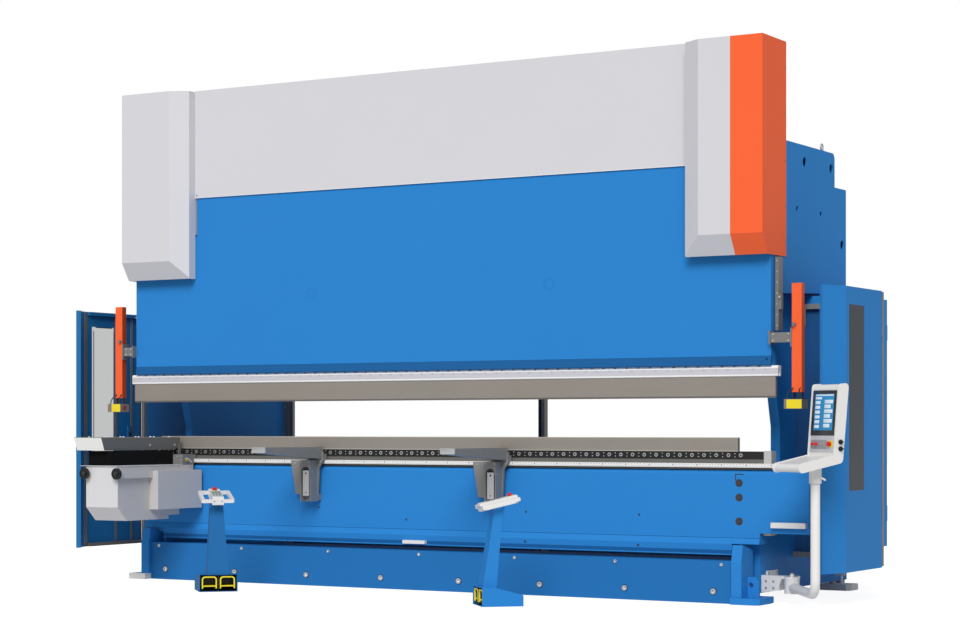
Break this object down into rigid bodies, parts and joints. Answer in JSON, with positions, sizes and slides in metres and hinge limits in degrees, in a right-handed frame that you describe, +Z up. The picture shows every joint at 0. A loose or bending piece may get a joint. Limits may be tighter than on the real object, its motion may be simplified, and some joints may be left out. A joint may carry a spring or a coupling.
{
  "type": "hydraulic press brake",
  "caption": "Long hydraulic press brake with sliding upper beam, V tooling, back gauge, sheet follower, front supports, swing-arm console, side guards and foot pedestals.",
  "frame": {"origin": "on the floor, at the middle of the machine's bounding box", "axes": "+X along the bending line towards the console, +Y from the operator to the back, +Z up"},
  "size_m": [7.357, 3.2694, 4.198],
  "materials": {
    "blue_paint": "satin",
    "screw_steel": "machined",
    "ground_steel": "ground",
    "black_steel": "blackened",
    "white_paint": "satin",
    "pale_paint": "fine texture",
    "orange_paint": "satin",
    "dark_paint": "satin",
    "rod_chrome": "polished",
    "bracket_aluminium": "anodised",
    "black_plastic": "moulded",
    "white_plastic": "moulded",
    "red_plastic": "moulded",
    "yellow_paint": "satin"
  },
  "bodies": {
    "frame": {"side_frames": "blue_paint", "bed": "blue_paint", "base_beam": "blue_paint", "machine_screws": "screw_steel", "levelling_feet": "screw_steel", "rear_beams": "blue_paint", "crowning_table": "ground_steel", "die_holder": "black_steel", "die": "ground_steel", "front_rail": "white_paint", "top_cover": "pale_paint", "corner_covers": "pale_paint", "corner_trim": "orange_paint", "cylinders": "dark_paint", "power_unit": "dark_paint", "ram_guides": "ground_steel", "console_bracket": "white_paint", "pedestal_stands": "blue_paint", "control_housings": "white_plastic", "cabinet": "blue_paint", "rear_fence": "dark_paint", "gauge_guides": "ground_steel", "bed_fittings": "white_paint"},
    "beam": {"ram": "blue_paint", "piston_rods": "rod_chrome", "clamp_bar": "white_paint", "clamp_screws": "screw_steel", "punch": "ground_steel", "laser_brackets": "bracket_aluminium"},
    "laser_left": {"laser_arm_left": "orange_paint", "laser_head_left": "bracket_aluminium"},
    "laser_right": {"laser_arm_right": "orange_paint", "laser_head_right": "bracket_aluminium"},
    "follower": {"follower_body": "white_paint"},
    "tray": {"follower_tray": "bracket_aluminium"},
    "wheel_left": {"follower_wheel_left": "black_plastic"},
    "wheel_right": {"follower_wheel_right": "black_plastic"},
    "support_left": {"support_left": "bracket_aluminium"},
    "support_right": {"support_right": "bracket_aluminium"},
    "lever_left": {"support_lever_left": "screw_steel"},
    "lever_right": {"support_lever_right": "screw_steel"},
    "gauge": {"gauge_beam": "bracket_aluminium"},
    "finger_left": {"gauge_finger_left": "bracket_aluminium"},
    "finger_right": {"gauge_finger_right": "bracket_aluminium"},
    "console_arm": {"console_arm": "white_paint"},
    "console": {"console_housing": "white_paint"},
    "push_left": {"console_button_left": "red_plastic"},
    "push_right": {"console_button_right": "red_plastic"},
    "console_stop": {"console_stop": "red_plastic"},
    "key_upper": {"key_switch_upper": "black_plastic"},
    "key_lower": {"key_switch_lower": "black_plastic"},
    "pedal_left_a": {"pedal_left_a": "yellow_paint"},
    "pedal_left_b": {"pedal_left_b": "yellow_paint"},
    "pedal_right_a": {"pedal_right_a": "yellow_paint"},
    "pedal_right_b": {"pedal_right_b": "yellow_paint"},
    "stop_left": {"stop_left": "red_plastic"},
    "stop_right": {"stop_right": "red_plastic"},
    "guard_left": {"guard_left": "blue_paint"},
    "guard_right": {"guard_right": "blue_paint"},
    "cabinet_door": {"cabinet_door": "blue_paint"}
  },
  "joints": [
    {"name": "beam_slide", "type": "slide", "parent": "frame", "child": "beam", "axis": [0, 0, 1], "range_m": [-0.29, 0]},
    {"name": "laser_left_slide", "type": "slide", "parent": "beam", "child": "laser_left", "axis": [0, 0, 1], "range_m": [0, 0.2]},
    {"name": "laser_right_slide", "type": "slide", "parent": "beam", "child": "laser_right", "axis": [0, 0, 1], "range_m": [0, 0.2]},
    {"name": "follower_slide", "type": "slide", "parent": "frame", "child": "follower", "axis": [1, 0, 0], "range_m": [-0.1, 0.4]},
    {"name": "tray_tilt", "type": "hinge", "parent": "follower", "child": "tray", "pos_m": [-2.72001, -0.40931, 1.155], "axis": [-1, 0, 0], "range_deg": [0, 55]},
    {"name": "wheel_left_turn", "type": "hinge", "parent": "follower", "child": "wheel_left", "pos_m": [-2.77651, -1.36131, 0.926], "axis": [0, 1, 0], "continuous": true},
    {"name": "wheel_right_turn", "type": "hinge", "parent": "follower", "child": "wheel_right", "pos_m": [-2.43551, -1.36131, 0.926], "axis": [0, 1, 0], "continuous": true},
    {"name": "support_left_slide", "type": "slide", "parent": "frame", "child": "support_left", "axis": [1, 0, 0], "range_m": [-0.5, 0.8]},
    {"name": "support_right_slide", "type": "slide", "parent": "frame", "child": "support_right", "axis": [1, 0, 0], "range_m": [-0.5, 1.3]},
    {"name": "lever_left_turn", "type": "hinge", "parent": "support_left", "child": "lever_left", "pos_m": [-1.18951, -0.46131, 0.942], "axis": [-1, 0, 0], "range_deg": [0, 70]},
    {"name": "lever_right_turn", "type": "hinge", "parent": "support_right", "child": "lever_right", "pos_m": [0.57949, -0.46131, 0.942], "axis": [-1, 0, 0], "range_deg": [0, 70]},
    {"name": "gauge_slide", "type": "slide", "parent": "frame", "child": "gauge", "axis": [0, 1, 0], "range_m": [-0.18, 0.6]},
    {"name": "finger_left_slide", "type": "slide", "parent": "gauge", "child": "finger_left", "axis": [1, 0, 0], "range_m": [-1, 1.2]},
    {"name": "finger_right_slide", "type": "slide", "parent": "gauge", "child": "finger_right", "axis": [1, 0, 0], "range_m": [-1.2, 1]},
    {"name": "console_arm_swing", "type": "hinge", "parent": "frame", "child": "console_arm", "pos_m": [3.01249, -0.22131, 0.123], "axis": [0, 0, 1], "range_deg": [-75, 0]},
    {"name": "console_swivel", "type": "hinge", "parent": "console_arm", "child": "console", "pos_m": [3.46108, -0.87159, 0.908], "axis": [0, 0, 1], "range_deg": [-60, 60]},
    {"name": "push_left_press", "type": "slide", "parent": "console", "child": "push_left", "axis": [-0.4875, -0.8687, 0.0873], "range_m": [-0.005, 0], "stiffness_N_per_m": 600, "springref_m": 0.004},
    {"name": "push_right_press", "type": "slide", "parent": "console", "child": "push_right", "axis": [-0.4875, -0.8687, 0.0873], "range_m": [-0.005, 0], "stiffness_N_per_m": 600, "springref_m": 0.004},
    {"name": "console_stop_press", "type": "slide", "parent": "console", "child": "console_stop", "axis": [-0.4875, -0.8687, 0.0873], "range_m": [-0.005, 0]},
    {"name": "key_upper_turn", "type": "hinge", "parent": "console", "child": "key_upper", "pos_m": [3.64132, -0.85692, 1.204], "axis": [0.8721, -0.4894, 0], "range_deg": [0, 90]},
    {"name": "key_lower_turn", "type": "hinge", "parent": "console", "child": "key_lower", "pos_m": [3.64132, -0.85692, 1.156], "axis": [0.8721, -0.4894, 0], "range_deg": [0, 90]},
    {"name": "pedal_left_a_press", "type": "hinge", "parent": "frame", "child": "pedal_left_a", "pos_m": [-1.57052, -1.32113, 0.044], "axis": [0.7071, 0.7071, 0], "range_deg": [0, 6], "stiffness_Nm_per_rad": 60, "springref_deg": -4.58},
    {"name": "pedal_left_b_press", "type": "hinge", "parent": "frame", "child": "pedal_left_b", "pos_m": [-1.46869, -1.21931, 0.044], "axis": [0.7071, 0.7071, 0], "range_deg": [0, 6], "stiffness_Nm_per_rad": 60, "springref_deg": -4.58},
    {"name": "stop_left_press", "type": "slide", "parent": "frame", "child": "stop_left", "axis": [0.1591, -0.1591, 0.9744], "range_m": [-0.006, 0]},
    {"name": "pedal_right_a_press", "type": "hinge", "parent": "frame", "child": "pedal_right_a", "pos_m": [1.16189, -1.34677, 0.044], "axis": [0.6947, -0.7193, 0], "range_deg": [0, 6], "stiffness_Nm_per_rad": 60, "springref_deg": -4.58},
    {"name": "pedal_right_b_press", "type": "hinge", "parent": "frame", "child": "pedal_right_b", "pos_m": [1.26192, -1.45035, 0.044], "axis": [0.6947, -0.7193, 0], "range_deg": [0, 6], "stiffness_Nm_per_rad": 60, "springref_deg": -4.58},
    {"name": "stop_right_press", "type": "slide", "parent": "frame", "child": "stop_right", "axis": [-0.1618, -0.1563, 0.9744], "range_m": [-0.006, 0]},
    {"name": "guard_left_swing", "type": "hinge", "parent": "frame", "child": "guard_left", "pos_m": [-3.67251, 0.42169, 1.3], "axis": [0, 0, -1], "range_deg": [0, 95]},
    {"name": "guard_right_swing", "type": "hinge", "parent": "frame", "child": "guard_right", "pos_m": [3.46749, 0.42169, 1.3], "axis": [0, 0, 1], "range_deg": [0, 95]},
    {"name": "cabinet_door_swing", "type": "hinge", "parent": "frame", "child": "cabinet_door", "pos_m": [3.19149, 1.27769, 1.3], "axis": [0, 0, 1], "range_deg": [0, 110]}
  ]
}
